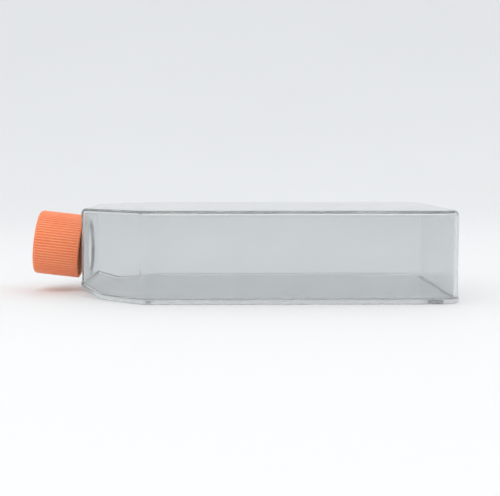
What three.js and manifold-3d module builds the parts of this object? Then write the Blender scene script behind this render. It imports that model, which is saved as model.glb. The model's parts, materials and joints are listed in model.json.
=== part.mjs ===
// A cell culture flask with a 225 cm2 growth surface: a clear body welded to a clear growth plate,
// a ribbed screw cap with vent holes, and the filter membrane sealed inside the cap.
//
// Millimetres. +X runs from the neck end to the base end, +Y across the flask and +Z up.
// The origin is the centre of the face that the flask rests on.
import * as THREE from "three";
import { mergeVertices } from "three/addons/utils/BufferGeometryUtils.js";
import Module from "manifold-3d";

const TURN = 2 * Math.PI;
const DEGREE = Math.PI / 180;

// Body and growth plate in plan. Lengths and widths are outside sizes over the plate's rim.
const BODY_LENGTH = 192;
const BODY_WIDTH = 134.5;
const BODY_HEIGHT = 46;
const END_WIDTH = 68; // the narrow wall that carries the neck
const SHOULDER_LENGTH = 34; // the taper from full width to the narrow wall
const BASE_CORNER_RADIUS = 12;
const SHOULDER_CORNER_RADIUS = 6;
const END_CORNER_RADIUS = 4;

// Walls and their rounded edges.
const WALL = 1.8;
const TOP_EDGE_RADIUS = 2.4;
const INNER_EDGE_RADIUS = 1;

// Growth plate.
const FLOOR = 2;
const RIM_HEIGHT = 2.7; // the plate's rim, up to the weld seam
const RIM_STEP = 0.5; // the rim stands out from the body's wall
const PLATE_EDGE_RADIUS = 0.9;
const RAMP_LENGTH = 12;
const RAMP_RISE = 5;

// Neck. Heights along it are measured on its axis from the narrow wall's outer face.
const NECK_TILT = 6.5 * DEGREE;
const NECK_LENGTH = 26.3;
const NECK_BORE_RADIUS = 12.2;
const NECK_WALL = 1.8;
const NECK_FLARE = 1; // extra radius where the neck meets the wall
const NECK_FLARE_LENGTH = 4.5;
const NECK_SEAM_GAP = 0.5; // from the growth plate's rim up to the neck
const LIP_RADIUS = 0.6;

// Screw thread, right-handed, shared by the neck and the cap.
const THREAD_PITCH = 5.5;
const THREAD_HEIGHT = 1.1;
const THREAD_ROOT_WIDTH = 2.2;
const THREAD_CREST_WIDTH = 1;
const THREAD_CLEARANCE = 0.35; // radial, at each crest
const THREAD_FLANK_GAP = 0.5; // axial, between the flanks that bear on each other
const THREAD_BURIAL = 0.3; // how far a ridge reaches into its wall
const RUNOUT = 11 * DEGREE; // a ridge sinks into its wall over this much turn
const NECK_THREAD_TURNS = 1.5;
const NECK_THREAD_TOP = 3.5; // from the mouth down to the thread's upper end
const LUGS_PER_TURN = 4; // the neck's thread is interrupted
const LUG_SPAN = 66 * DEGREE;
const CAP_THREAD_TURNS = 1.25;

// Cap.
const CAP_HEIGHT = 24.5;
const CAP_TOP = 1.6;
const CAP_WALL = 1.25;
const CAP_EDGE_RADIUS = 1.6;
const CAP_RIM_CHAMFER = 0.5;
const RIB_COUNT = 72;
const RIB_HEIGHT = 0.45;
const RIB_CREST_SHARE = 0.34; // of one rib's pitch
const RIB_FLANK_SHARE = 0.18;
const VENT_COUNT = 4;
const VENT_RADIUS = 2.5;
const VENT_RING_RADIUS = 6.3;
const SEAL_GAP = 0.35; // from the neck's lip up to the cap's end, and round the sealing ring
const SEAL_RING_WALL = 0.8;
const SEAL_RING_DEPTH = 2;

// Membrane.
const MEMBRANE_THICKNESS = 0.25;
const MEMBRANE_GAP = 0.3; // to the cap's end and to the sealing ring

// Facets.
const CORNER_STEPS = 3; // half the facets of a plan corner
const EDGE_STEPS = 3;
const ROUND_STEPS = 48;
const CAP_ROUND_STEPS = 72;
const LUG_STEPS = 8;
const CAP_THREAD_STEPS = 48;
const VENT_STEPS = 20;
const OVERCUT = 4; // how far a cutting shape reaches past what it cuts
const HAIR = 0.05; // keeps two shapes from sharing a surface

// Sizes that follow from those above.
const END_X = -BODY_LENGTH / 2;
const RAMP_START_X = END_X + RAMP_LENGTH;
const RAMP_SLOPE = RAMP_RISE / RAMP_LENGTH;
const RAMP_ANGLE = Math.atan(RAMP_SLOPE);
const INNER_INSET = RIM_STEP + WALL;
const REACH = 2 * NECK_LENGTH; // past either end of the body
const SKY = BODY_HEIGHT + 2 * (BODY_LENGTH + REACH) * RAMP_SLOPE; // above all, even when sheared
const NECK_RADIUS = NECK_BORE_RADIUS + NECK_WALL;
const NECK_ROOT_RADIUS = NECK_RADIUS + NECK_FLARE;
const RIM_TOP_AT_END = RAMP_RISE + RIM_HEIGHT / Math.cos(RAMP_ANGLE);
const NECK_FOOT_Z = RIM_TOP_AT_END + NECK_SEAM_GAP + NECK_ROOT_RADIUS / Math.cos(NECK_TILT);
const CAP_INNER_RADIUS = NECK_RADIUS + THREAD_HEIGHT + THREAD_CLEARANCE;
const CAP_ROOT_RADIUS = CAP_INNER_RADIUS + CAP_WALL;
const CAP_RADIUS = CAP_ROOT_RADIUS + RIB_HEIGHT;
const CAP_UNDERSIDE = NECK_LENGTH + SEAL_GAP;
const CAP_END = CAP_UNDERSIDE + CAP_TOP;
const CAP_RIM = CAP_END - CAP_HEIGHT;
const SEAL_RING_RADIUS = NECK_BORE_RADIUS - SEAL_GAP;
const MEMBRANE_RADIUS = SEAL_RING_RADIUS - SEAL_RING_WALL - MEMBRANE_GAP;

const wasm = await Module();
wasm.setup();

// A closed geometry as a solid that can be joined and cut.
function solid(geometry) {
  const bare = geometry.clone();
  bare.deleteAttribute("normal");
  bare.deleteAttribute("uv");
  const merged = mergeVertices(bare);
  return new wasm.Manifold(
    new wasm.Mesh({
      numProp: 3,
      vertProperties: merged.attributes.position.array,
      triVerts: new Uint32Array(merged.index.array),
    }),
  );
}

// A solid as a geometry that a mesh can hold.
function geometryOf(shape) {
  const faces = shape.getMesh();
  const geometry = new THREE.BufferGeometry();
  geometry.setAttribute("position", new THREE.BufferAttribute(faces.vertProperties, 3));
  geometry.setIndex(new THREE.BufferAttribute(faces.triVerts, 1));
  geometry.computeVertexNormals();
  return geometry;
}

// A profile of radius and height, turned about +Z.
function turned(path, steps) {
  const geometry = new THREE.LatheGeometry(path.getPoints(EDGE_STEPS), steps);
  geometry.rotateX(Math.PI / 2);
  return solid(geometry);
}

// ---- Flask body and growth plate ----

// The plan's corners, anticlockwise from above.
function planCorners() {
  const base = BODY_LENGTH / 2;
  const shoulder = END_X + SHOULDER_LENGTH;
  const side = BODY_WIDTH / 2;
  const end = END_WIDTH / 2;
  return [
    { x: base, y: -side, radius: BASE_CORNER_RADIUS },
    { x: base, y: side, radius: BASE_CORNER_RADIUS },
    { x: shoulder, y: side, radius: SHOULDER_CORNER_RADIUS },
    { x: END_X, y: end, radius: END_CORNER_RADIUS },
    { x: END_X, y: -end, radius: END_CORNER_RADIUS },
    { x: shoulder, y: -side, radius: SHOULDER_CORNER_RADIUS },
  ];
}

// The direction into the plan from the side between two corners.
function inwards(from, to) {
  return new THREE.Vector2(from.y - to.y, to.x - from.x).normalize();
}

// The plan's outline with every side moved inwards and its corners rounded about the same centres.
function planOutline(inset) {
  const corners = planCorners();
  const outline = new THREE.Shape();
  corners.forEach((corner, i) => {
    const before = corners[(i + corners.length - 1) % corners.length];
    const after = corners[(i + 1) % corners.length];
    const arriving = inwards(before, corner);
    const leaving = inwards(corner, after);
    const centre = arriving.clone().add(leaving);
    centre.multiplyScalar(corner.radius / (1 + arriving.dot(leaving))).add(corner);
    outline.absarc(
      centre.x,
      centre.y,
      corner.radius - inset,
      Math.atan2(-arriving.y, -arriving.x),
      Math.atan2(-leaving.y, -leaving.x),
      false,
    );
  });
  return outline;
}

// The plan raised between two levels, with both its rims rounded. A rounding is limited by the
// tightest corner that it runs round.
function pan(inset, bottom, top, edgeRadius) {
  const tightest = Math.min(END_CORNER_RADIUS, SHOULDER_CORNER_RADIUS, BASE_CORNER_RADIUS) - inset;
  const radius = Math.min(edgeRadius, 0.8 * tightest);
  const geometry = new THREE.ExtrudeGeometry(planOutline(inset), {
    depth: top - bottom - 2 * radius,
    bevelThickness: radius,
    bevelSize: radius,
    bevelOffset: -radius,
    bevelSegments: EDGE_STEPS,
    curveSegments: CORNER_STEPS,
  });
  return geometry.translate(0, 0, bottom + radius);
}

// A flat-bottomed shape whose bottom bends up along the ramp. The shape and a sheared copy of it,
// whose bottom has the ramp's slope, are both cut away below, so what is above both is left. The
// bend moves with the lift, so that surfaces at different lifts stay parallel.
function alongRamp(geometry, lift) {
  const bend = RAMP_START_X + lift * Math.tan(RAMP_ANGLE / 2);
  const shear = new THREE.Matrix4().makeShear(0, -RAMP_SLOPE, 0, 0, 0, 0);
  shear.setPosition(0, 0, RAMP_SLOPE * bend);
  return solid(geometry).intersect(solid(geometry.clone().applyMatrix4(shear)));
}

// Everything above the weld seam.
function aboveSeam() {
  const height = SKY - RIM_HEIGHT;
  const block = new THREE.BoxGeometry(BODY_LENGTH + 2 * REACH, BODY_WIDTH + 2 * OVERCUT, height);
  return alongRamp(block.translate(0, 0, RIM_HEIGHT + height / 2), RIM_HEIGHT);
}

function growthPlate() {
  const outside = alongRamp(pan(0, 0, SKY, PLATE_EDGE_RADIUS), 0);
  const inside = alongRamp(pan(INNER_INSET, FLOOR, SKY, INNER_EDGE_RADIUS), FLOOR);
  return outside.subtract(inside).subtract(aboveSeam());
}

// The neck's own frame: +Z out along its axis, from the narrow wall's outer face.
function neckFrame() {
  const frame = new THREE.Group();
  frame.position.set(END_X + RIM_STEP, 0, NECK_FOOT_Z);
  frame.rotation.y = NECK_TILT - Math.PI / 2;
  frame.updateMatrix();
  return frame;
}

function flaskBody() {
  const outside = solid(pan(RIM_STEP, -TOP_EDGE_RADIUS, BODY_HEIGHT, TOP_EDGE_RADIUS));
  const inside = solid(pan(INNER_INSET, -OVERCUT, BODY_HEIGHT - WALL, INNER_EDGE_RADIUS));
  const place = neckFrame().matrix;
  const neck = solid(geometryOf(neckOutside()).applyMatrix4(place));
  const bore = solid(geometryOf(neckBore()).applyMatrix4(place));
  return outside.intersect(aboveSeam()).add(neck).subtract(inside).subtract(bore);
}

// ---- Neck and thread ----

// A helical ridge's route. It sinks into its wall at both ends.
class Helix extends THREE.Curve {
  constructor(radius, sink, height, from, to) {
    super();
    Object.assign(this, { radius, sink, height, from, to });
  }

  getPoint(t, target = new THREE.Vector3()) {
    const angle = THREE.MathUtils.lerp(this.from, this.to, t);
    const nearest = Math.min(angle - this.from, this.to - angle);
    const runout = 1 - THREE.MathUtils.clamp(nearest / RUNOUT, 0, 1);
    const radius = this.radius + this.sink * runout;
    const height = this.height + (THREAD_PITCH * angle) / TURN;
    return target.set(radius * Math.cos(angle), radius * Math.sin(angle), height);
  }

  // The section's x points out from the axis and its y along it.
  computeFrenetFrames(segments) {
    const frames = { tangents: [], normals: [], binormals: [] };
    for (let i = 0; i <= segments; i++) {
      const point = this.getPointAt(i / segments);
      frames.tangents.push(this.getTangentAt(i / segments));
      frames.normals.push(new THREE.Vector3(point.x, point.y, 0).normalize());
      frames.binormals.push(new THREE.Vector3(0, 0, -1));
    }
    return frames;
  }
}

// A ridge that stands up from its wall: outwards on the neck, inwards (outward = -1) in the cap.
function ridge(wallRadius, outward, height, from, to, steps) {
  const root = THREAD_ROOT_WIDTH / 2;
  const crest = THREAD_CREST_WIDTH / 2;
  const foot = -outward * THREAD_BURIAL;
  const tip = outward * THREAD_HEIGHT;
  const section = new THREE.Shape([
    new THREE.Vector2(foot, -root),
    new THREE.Vector2(0, -root),
    new THREE.Vector2(tip, -crest),
    new THREE.Vector2(tip, crest),
    new THREE.Vector2(0, root),
    new THREE.Vector2(foot, root),
  ]);
  const sink = -outward * (THREAD_HEIGHT + HAIR);
  const extrudePath = new Helix(wallRadius, sink, height, from, to);
  return solid(new THREE.ExtrudeGeometry(section, { steps, extrudePath }));
}

// The height of the neck's thread where its angle is 0.
function threadBase() {
  return NECK_LENGTH - NECK_THREAD_TOP - NECK_THREAD_TURNS * THREAD_PITCH;
}

function neckOutside() {
  const profile = new THREE.Path();
  profile.moveTo(0, -OVERCUT);
  profile.lineTo(NECK_ROOT_RADIUS, -OVERCUT);
  profile.lineTo(NECK_ROOT_RADIUS, 0);
  profile.lineTo(NECK_RADIUS, NECK_FLARE_LENGTH);
  profile.absarc(NECK_RADIUS - LIP_RADIUS, NECK_LENGTH - LIP_RADIUS, LIP_RADIUS, 0, Math.PI / 2);
  profile.lineTo(0, NECK_LENGTH);
  let neck = turned(profile, ROUND_STEPS);
  const lugs = NECK_THREAD_TURNS * LUGS_PER_TURN;
  for (let i = 0; i < lugs; i++) {
    const middle = ((i + 0.5) * TURN) / LUGS_PER_TURN;
    const from = middle - LUG_SPAN / 2;
    const to = middle + LUG_SPAN / 2;
    neck = neck.add(ridge(NECK_RADIUS, 1, threadBase(), from, to, LUG_STEPS));
  }
  return neck;
}

function neckBore() {
  const profile = new THREE.Path();
  profile.moveTo(0, -2 * OVERCUT);
  profile.lineTo(NECK_BORE_RADIUS + NECK_FLARE, -2 * OVERCUT);
  profile.lineTo(NECK_BORE_RADIUS + NECK_FLARE, 0);
  profile.lineTo(NECK_BORE_RADIUS, NECK_FLARE_LENGTH);
  profile.lineTo(NECK_BORE_RADIUS, NECK_LENGTH - LIP_RADIUS);
  profile.lineTo(NECK_BORE_RADIUS + LIP_RADIUS / 2, NECK_LENGTH);
  profile.lineTo(NECK_BORE_RADIUS + LIP_RADIUS / 2, NECK_LENGTH + OVERCUT);
  profile.lineTo(0, NECK_LENGTH + OVERCUT);
  return turned(profile, ROUND_STEPS);
}

// ---- Cap and membrane, in the neck's frame ----

// The skirt's outline, with a rib at every step round it.
function ribbedOutline() {
  const pitch = TURN / RIB_COUNT;
  const outline = new THREE.Shape();
  const corners = [
    [0, CAP_ROOT_RADIUS],
    [RIB_FLANK_SHARE, CAP_RADIUS],
    [RIB_FLANK_SHARE + RIB_CREST_SHARE, CAP_RADIUS],
    [2 * RIB_FLANK_SHARE + RIB_CREST_SHARE, CAP_ROOT_RADIUS],
  ];
  const points = [];
  for (let i = 0; i < RIB_COUNT; i++) {
    for (const [share, radius] of corners) {
      const angle = (i + share) * pitch;
      points.push(new THREE.Vector2(radius * Math.cos(angle), radius * Math.sin(angle)));
    }
  }
  return outline.setFromPoints(points);
}

// The cap's smooth envelope, which rounds off its end and chamfers its rim.
function capEnvelope() {
  const radius = CAP_RADIUS + HAIR;
  const profile = new THREE.Path();
  profile.moveTo(0, CAP_RIM);
  profile.lineTo(radius - CAP_RIM_CHAMFER, CAP_RIM);
  profile.lineTo(radius, CAP_RIM + CAP_RIM_CHAMFER);
  profile.absarc(radius - CAP_EDGE_RADIUS, CAP_END - CAP_EDGE_RADIUS, CAP_EDGE_RADIUS, 0, Math.PI / 2);
  profile.lineTo(0, CAP_END);
  return turned(profile, CAP_ROUND_STEPS);
}

function capHollow() {
  const profile = new THREE.Path();
  profile.moveTo(0, CAP_RIM - OVERCUT);
  profile.lineTo(CAP_INNER_RADIUS + CAP_RIM_CHAMFER, CAP_RIM - OVERCUT);
  profile.lineTo(CAP_INNER_RADIUS + CAP_RIM_CHAMFER, CAP_RIM);
  profile.lineTo(CAP_INNER_RADIUS, CAP_RIM + CAP_RIM_CHAMFER);
  profile.lineTo(CAP_INNER_RADIUS, CAP_UNDERSIDE);
  profile.lineTo(0, CAP_UNDERSIDE);
  return turned(profile, ROUND_STEPS);
}

function sealRing() {
  const inner = SEAL_RING_RADIUS - SEAL_RING_WALL;
  const bottom = CAP_UNDERSIDE - SEAL_RING_DEPTH;
  const profile = new THREE.Path();
  profile.moveTo(inner, bottom);
  profile.lineTo(SEAL_RING_RADIUS, bottom);
  profile.lineTo(SEAL_RING_RADIUS, CAP_UNDERSIDE + CAP_TOP / 2);
  profile.lineTo(inner, CAP_UNDERSIDE + CAP_TOP / 2);
  profile.lineTo(inner, bottom);
  return turned(profile, ROUND_STEPS);
}

// How far below the neck's ridge the cap's ridge lies: both half widths halfway up, and the gap.
function ridgeOffset() {
  const taper = (THREAD_ROOT_WIDTH - THREAD_CREST_WIDTH) / 2;
  const spacing = THREAD_HEIGHT + THREAD_CLEARANCE;
  return THREAD_ROOT_WIDTH - (taper * spacing) / THREAD_HEIGHT + THREAD_FLANK_GAP;
}

function capThread() {
  const to = NECK_THREAD_TURNS * TURN;
  const from = to - CAP_THREAD_TURNS * TURN;
  return ridge(CAP_INNER_RADIUS, -1, threadBase() - ridgeOffset(), from, to, CAP_THREAD_STEPS);
}

function cap() {
  const skirt = new THREE.ExtrudeGeometry(ribbedOutline(), {
    depth: CAP_HEIGHT + 2 * OVERCUT,
    bevelEnabled: false,
  }).translate(0, 0, CAP_RIM - OVERCUT);
  const outside = solid(skirt).intersect(capEnvelope());
  let shape = outside.subtract(capHollow());
  shape = shape.add(capThread().intersect(outside)).add(sealRing());
  for (let i = 0; i < VENT_COUNT; i++) {
    const angle = ((i + 0.5) * TURN) / VENT_COUNT;
    const vent = new THREE.CylinderGeometry(VENT_RADIUS, VENT_RADIUS, 2 * OVERCUT, VENT_STEPS);
    vent.rotateX(Math.PI / 2);
    vent.translate(VENT_RING_RADIUS * Math.cos(angle), VENT_RING_RADIUS * Math.sin(angle), CAP_END);
    shape = shape.subtract(solid(vent));
  }
  return shape;
}

function membrane() {
  const disc = new THREE.CylinderGeometry(
    MEMBRANE_RADIUS,
    MEMBRANE_RADIUS,
    MEMBRANE_THICKNESS,
    ROUND_STEPS,
  );
  disc.rotateX(Math.PI / 2);
  return disc.translate(0, 0, CAP_UNDERSIDE - MEMBRANE_GAP - MEMBRANE_THICKNESS / 2);
}

// ---- The flask ----

const clearPlastic = { color: 0xdfe5e6, roughness: 0.08, metalness: 0, transparent: true, opacity: 0.35 };
const orangePlastic = { color: 0xf07a45, roughness: 0.42, metalness: 0 };
const filterFabric = { color: 0xf4f4f1, roughness: 0.9, metalness: 0 };

function piece(name, geometry, finish) {
  const mesh = new THREE.Mesh(geometry, new THREE.MeshStandardMaterial(finish));
  mesh.name = name;
  return mesh;
}

const flask = new THREE.Group();
const neckEnd = neckFrame();
neckEnd.add(
  piece("cap", geometryOf(cap()), orangePlastic),
  piece("vent_membrane", membrane(), filterFabric),
);
flask.add(
  piece("flask_body", geometryOf(flaskBody()), clearPlastic),
  piece("growth_plate", geometryOf(growthPlate()), clearPlastic),
  neckEnd,
);

export default flask;
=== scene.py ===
# A cell culture flask with a 225 cm2 growth surface: a clear moulded body welded to a clear growth
# plate, a ribbed screw cap with vent holes, and the filter membrane sealed inside the cap.
#
# Metres. +X runs from the neck end to the base end, +Y across the flask and +Z up. The origin is
# the centre of the face that the flask rests on.
import json
import math
from types import SimpleNamespace

import bmesh
import bpy
from bpy.props import FloatProperty, FloatVectorProperty, IntProperty, PointerProperty
from mathutils import Matrix, Vector, noise


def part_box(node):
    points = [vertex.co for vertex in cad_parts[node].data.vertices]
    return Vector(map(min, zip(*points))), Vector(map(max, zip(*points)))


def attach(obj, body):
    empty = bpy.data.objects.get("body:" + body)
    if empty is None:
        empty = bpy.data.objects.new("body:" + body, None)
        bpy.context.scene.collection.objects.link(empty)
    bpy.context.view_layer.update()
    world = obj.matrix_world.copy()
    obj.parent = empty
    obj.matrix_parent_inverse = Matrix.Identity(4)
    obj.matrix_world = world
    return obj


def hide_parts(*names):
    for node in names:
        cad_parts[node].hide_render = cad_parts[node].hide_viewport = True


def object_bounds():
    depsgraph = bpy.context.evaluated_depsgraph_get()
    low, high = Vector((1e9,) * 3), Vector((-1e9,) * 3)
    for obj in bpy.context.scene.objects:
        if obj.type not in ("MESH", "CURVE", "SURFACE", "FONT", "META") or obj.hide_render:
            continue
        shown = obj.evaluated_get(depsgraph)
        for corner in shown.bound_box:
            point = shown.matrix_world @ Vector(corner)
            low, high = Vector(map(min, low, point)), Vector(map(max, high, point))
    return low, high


bl_info = {
    "name": "Cell Culture Flask",
    "version": (1, 0, 0),
    "blender": (4, 5, 0),
    "location": "View3D > Sidebar > Flask",
    "description": "Makes a clear culture flask with a vented screw cap around its packed frame",
    "category": "Add Mesh",
}

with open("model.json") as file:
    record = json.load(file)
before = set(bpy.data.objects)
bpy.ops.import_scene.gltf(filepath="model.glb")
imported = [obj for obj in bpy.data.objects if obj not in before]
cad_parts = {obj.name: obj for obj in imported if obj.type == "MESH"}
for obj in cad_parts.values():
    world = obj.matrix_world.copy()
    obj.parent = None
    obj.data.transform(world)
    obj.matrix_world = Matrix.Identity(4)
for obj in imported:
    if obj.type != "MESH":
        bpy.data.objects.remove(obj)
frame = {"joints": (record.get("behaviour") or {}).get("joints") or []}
CAD_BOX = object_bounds()

MM = 0.001
TURN = 2 * math.pi
QUARTER = TURN / 4
DEGREE = math.pi / 180
HAIR = 0.02 * MM  # keeps two surfaces from lying on each other

PLATE_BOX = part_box("growth_plate")
BODY_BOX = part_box("flask_body")
CAP_TURN = next(j for j in frame["joints"] if j["name"] == "cap_turn")


# ---- Sizes and colours ----


def kind_of(make, **settings):
    """One kind of property, which takes its name, description and default."""
    return lambda name, description, default: make(
        name=name, description=description, default=default, **settings
    )


metres = kind_of(FloatProperty, min=0, precision=5, unit="LENGTH")
angle = kind_of(FloatProperty, subtype="ANGLE")
count = kind_of(IntProperty, min=1)
share = kind_of(FloatProperty, min=0, max=1, subtype="FACTOR")
colour = kind_of(FloatVectorProperty, min=0, max=1, size=3, subtype="COLOR")


def size(name, description, millimetres):
    return metres(name, description, millimetres * MM)


class FlaskBody(bpy.types.PropertyGroup):
    """The flask's plan, walls and rounded edges"""

    length: metres("Length", "Over the growth plate's rim", PLATE_BOX[1].x - PLATE_BOX[0].x)
    width: metres("Width", "Over the growth plate's rim", PLATE_BOX[1].y - PLATE_BOX[0].y)
    height: metres("Height", "From the resting face to the top face", BODY_BOX[1].z)
    end_width: size("Neck wall width", "The narrow wall that carries the neck", 68)
    shoulder: size("Shoulder length", "The taper from full width to the neck wall", 34)
    base_corner: size("Base corner", "Plan radius of the two base corners", 12)
    shoulder_corner: size("Shoulder corner", "Plan radius where the taper starts", 6)
    end_corner: size("Neck wall corner", "Plan radius of the neck wall's corners", 4)
    wall: size("Wall", "Thickness of the body's walls", 1.8)
    top_edge: size("Top edge", "Radius of the outer edge round the top face", 2.4)
    inner_edge: size("Inner edge", "Radius of the edges inside the chamber", 1)
    seam_edge: size("Seam edge", "Radius of the wall's lower edges", 0.16)


class GrowthPlate(bpy.types.PropertyGroup):
    """The plate that cells grow on, with its ramp to the neck"""

    floor: size("Floor", "Thickness under the growth surface", 2)
    rim: size("Rim height", "From the resting face up to the weld seam", 2.7)
    step: size("Rim step", "How far the rim stands out from the body's wall", 0.5)
    lower_edge: size("Lower edge", "Radius of the edge round the resting face", 0.9)
    upper_edge: size("Rim edge", "Radius of the rim's upper edges", 0.18)
    floor_edge: size("Floor edge", "Radius round the growth surface", 0.65)
    ramp_length: size("Ramp length", "Along the flask, at the neck end", 12)
    ramp_rise: size("Ramp rise", "Height of the ramp at the neck wall", 5)
    bend: size("Bend", "Half the length over which the ramp bends up", 2)
    bead: size("Weld bead", "Radius of the bead squeezed out of the seam", 0.2)
    bead_wander: size("Bead unevenness", "How far the bead wanders along the seam", 0.12)


class FlaskNeck(bpy.types.PropertyGroup):
    """The neck and its interrupted screw thread"""

    length: size("Length", "From the neck wall's outer face to the mouth", 26.3)
    bore: size("Bore radius", "Inside the neck", 12.2)
    wall: size("Wall", "Thickness of the neck's wall", 1.8)
    flare: size("Flare", "Extra radius at the neck's root", 1)
    flare_length: size("Flare length", "Along the neck", 4.5)
    fillet: size("Root fillet", "Where the neck meets the wall", 0.4)
    lip: size("Lip", "Radius of the mouth's outer edge", 0.6)
    pitch: size("Thread pitch", "Rise of the thread in one turn", 5.5)
    ridge: size("Thread height", "Height of the thread's ridge", 1.1)
    root: size("Ridge root", "Width of the ridge at its root", 2.2)
    crest: size("Ridge crest", "Width of the ridge at its crest", 1)
    runout: angle("Run-out", "Turn over which a ridge sinks into its wall", 11 * DEGREE)
    lug_count: count("Lugs", "Pieces of thread on the neck", 6)
    lugs_per_turn: count("Lugs per turn", "Pieces of thread in one turn", 4)
    lug_span: angle("Lug span", "Turn that one piece of thread covers", 66 * DEGREE)
    thread_top: size("Thread top", "From the mouth down to the thread's upper end", 3.5)


class ScrewCap(bpy.types.PropertyGroup):
    """The vented screw cap"""

    height: size("Height", "From the rim to the end face", 24.5)
    top: size("End thickness", "Thickness of the cap's end", 1.6)
    wall: size("Wall", "Thickness of the skirt between ribs", 1.25)
    clearance: size("Thread clearance", "From the neck's ridge to the skirt", 0.35)
    flank_gap: size("Flank gap", "Along the neck, between the ridges that bear", 0.5)
    edge: size("End edge", "Radius of the edge round the end face", 1.6)
    chamfer: size("Rim chamfer", "At the skirt's rim", 0.5)
    rib_count: count("Ribs", "Grip ribs round the skirt", 72)
    rib_height: size("Rib height", "How far a rib stands out", 0.45)
    rib_foot: size("Rib foot", "Width of a rib where it leaves the skirt", 1.02)
    rib_crest: size("Rib crest", "Width of a rib at its crest", 0.5)
    vent_count: count("Vents", "Holes in the end face", 4)
    vent_radius: size("Vent radius", "Radius of one hole", 2.5)
    vent_ring: size("Vent ring", "Radius of the circle that the holes lie on", 6.3)
    vent_edge: size("Vent edge", "Radius of the edge round a hole", 0.3)
    seal_gap: size("Seal gap", "From the neck to the cap's end and sealing ring", 0.35)
    seal_wall: size("Sealing ring wall", "Thickness of the ring inside the mouth", 0.8)
    seal_depth: size("Sealing ring depth", "How far the ring reaches in", 2)
    thread_turns: FloatProperty(
        name="Thread turns", description="Turns of the cap's thread", default=1.25, min=0.5
    )
    gate: size("Gate mark", "Radius of the moulding mark on the end face", 1.1)


class FilterMembrane(bpy.types.PropertyGroup):
    """The filter membrane behind the vents"""

    thickness: size("Thickness", "Of the membrane", 0.25)
    gap: size("Gap", "To the cap's end and to the sealing ring", 0.3)
    edge: size("Edge", "Chamfer round the membrane", 0.06)
    relief: size("Relief", "Unevenness of the membrane's faces", 0.03)
    grain: size("Relief grain", "How wide one dent in the faces is", 2.4)


class FlaskFinishes(bpy.types.PropertyGroup):
    """Colours and gloss"""

    plastic: colour("Clear plastic", "Tint of the body and plate", (0.82, 0.836, 0.84))
    lamp_share: colour("Passed to lamps", "What one clear face lets through", (0.955, 0.96, 0.96))
    plastic_gloss: share("Clear plastic roughness", "Of a clean moulded face", 0.01)
    plate_haze: share("Growth surface haze", "Roughness that the cell treatment adds", 0.06)
    plastic_index: FloatProperty(
        name="Refractive index", description="Of the clear plastic", default=1.59, min=1, max=2
    )
    weld: colour("Weld", "The bead of melted plastic in the seam", (0.86, 0.89, 0.9))
    cap: colour("Cap", "The cap's plastic", (0.96, 0.27, 0.105))
    # The lighter crest colour is partly rub wear and partly a painted highlight where the rib
    # crests catch the light.
    cap_worn_and_highlit: colour("Cap, rubbed", "The cap's plastic on its rib crests", (0.98, 0.37, 0.19))
    cap_gloss: share("Cap roughness", "Of the cap's moulded face", 0.4)
    membrane: colour("Membrane", "The filter membrane", (0.88, 0.88, 0.86))


class FlaskStage(bpy.types.PropertyGroup):
    """The floor, the lights and the camera"""

    floor: colour("Floor", "The sweep that the flask stands on", (0.9, 0.9, 0.9))
    floor_radius: metres("Floor radius", "The flat part of the sweep", 0.9)
    sweep: metres("Sweep radius", "The sweep's curved wall", 1.5)
    distance: metres("Camera distance", "From the flask's long side", 0.56)
    camera_height: metres("Camera height", "Above the floor", 0.069)
    camera_offset: FloatProperty(
        name="Camera offset", description="Along the flask", default=-0.015, unit="LENGTH"
    )
    fill: share("Width filled", "How much of the picture's width the flask fills", 0.86)


# ---- Meshes ----

MERGE_WITHIN = HAIR / 100


def linked(thing):
    """Puts an object in the scene."""
    bpy.context.scene.collection.objects.link(thing)
    return thing


def mesh_object(name, verts, faces=(), edges=()):
    """A mesh object at the origin."""
    mesh = bpy.data.meshes.new(name)
    mesh.from_pydata(verts, edges, faces)
    return linked(bpy.data.objects.new(name, mesh))


def closed_piece(name, verts, faces):
    """A mesh object of a closed shape, with its faces turned outwards."""
    piece = mesh_object(name, verts, faces)
    tidy_mesh(piece.data)
    return piece


def tidy_mesh(mesh, recalculate=True):
    """Merges doubles and, on a closed shape, turns the faces outwards."""
    work = bmesh.new()
    work.from_mesh(mesh)
    bmesh.ops.remove_doubles(work, verts=work.verts, dist=MERGE_WITHIN)
    bmesh.ops.dissolve_degenerate(work, edges=work.edges, dist=MERGE_WITHIN)
    if recalculate:
        bmesh.ops.recalc_face_normals(work, faces=work.faces)
    work.to_mesh(mesh)
    work.free()


def paint(piece, material):
    """Gives the piece this one material."""
    piece.data.materials.clear()
    piece.data.materials.append(material)


def bake_modifiers(piece):
    """Turns what the modifiers make into a plain mesh and removes them."""
    graph = bpy.context.evaluated_depsgraph_get()
    old = piece.data
    mesh = bpy.data.meshes.new_from_object(
        piece.evaluated_get(graph), preserve_all_data_layers=True, depsgraph=graph
    )
    piece.modifiers.clear()
    piece.data = mesh
    mesh.name = piece.name
    bpy.data.meshes.remove(old)


def combine(piece, tool, operation):
    """Joins tool to piece ("UNION") or cuts it away ("DIFFERENCE"), and removes it."""
    step = piece.modifiers.new("Combine", "BOOLEAN")
    step.operation = operation
    step.solver = "MANIFOLD"
    step.object = tool
    bake_modifiers(piece)
    bpy.data.objects.remove(tool)
    if not piece.data.polygons:
        raise RuntimeError(f"{piece.name} came out empty")


def strips(rings):
    """Quads between rings that hold the same number of points."""
    span = len(rings[0])
    faces = []
    for low in range(0, (len(rings) - 1) * span, span):
        for i in range(span):
            j = (i + 1) % span
            faces.append((low + i, low + j, low + span + j, low + span + i))
    return faces


def one_face(first, span):
    """One face over a closed ring."""
    return [tuple(range(first, first + span))]


def ladder(first, span):
    """Quads over a closed ring, from each point to its partner on the other side."""
    last = first + span - 1
    return [(first + i, first + i + 1, last - 1 - i, last - i) for i in range(span // 2 - 1)]


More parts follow.
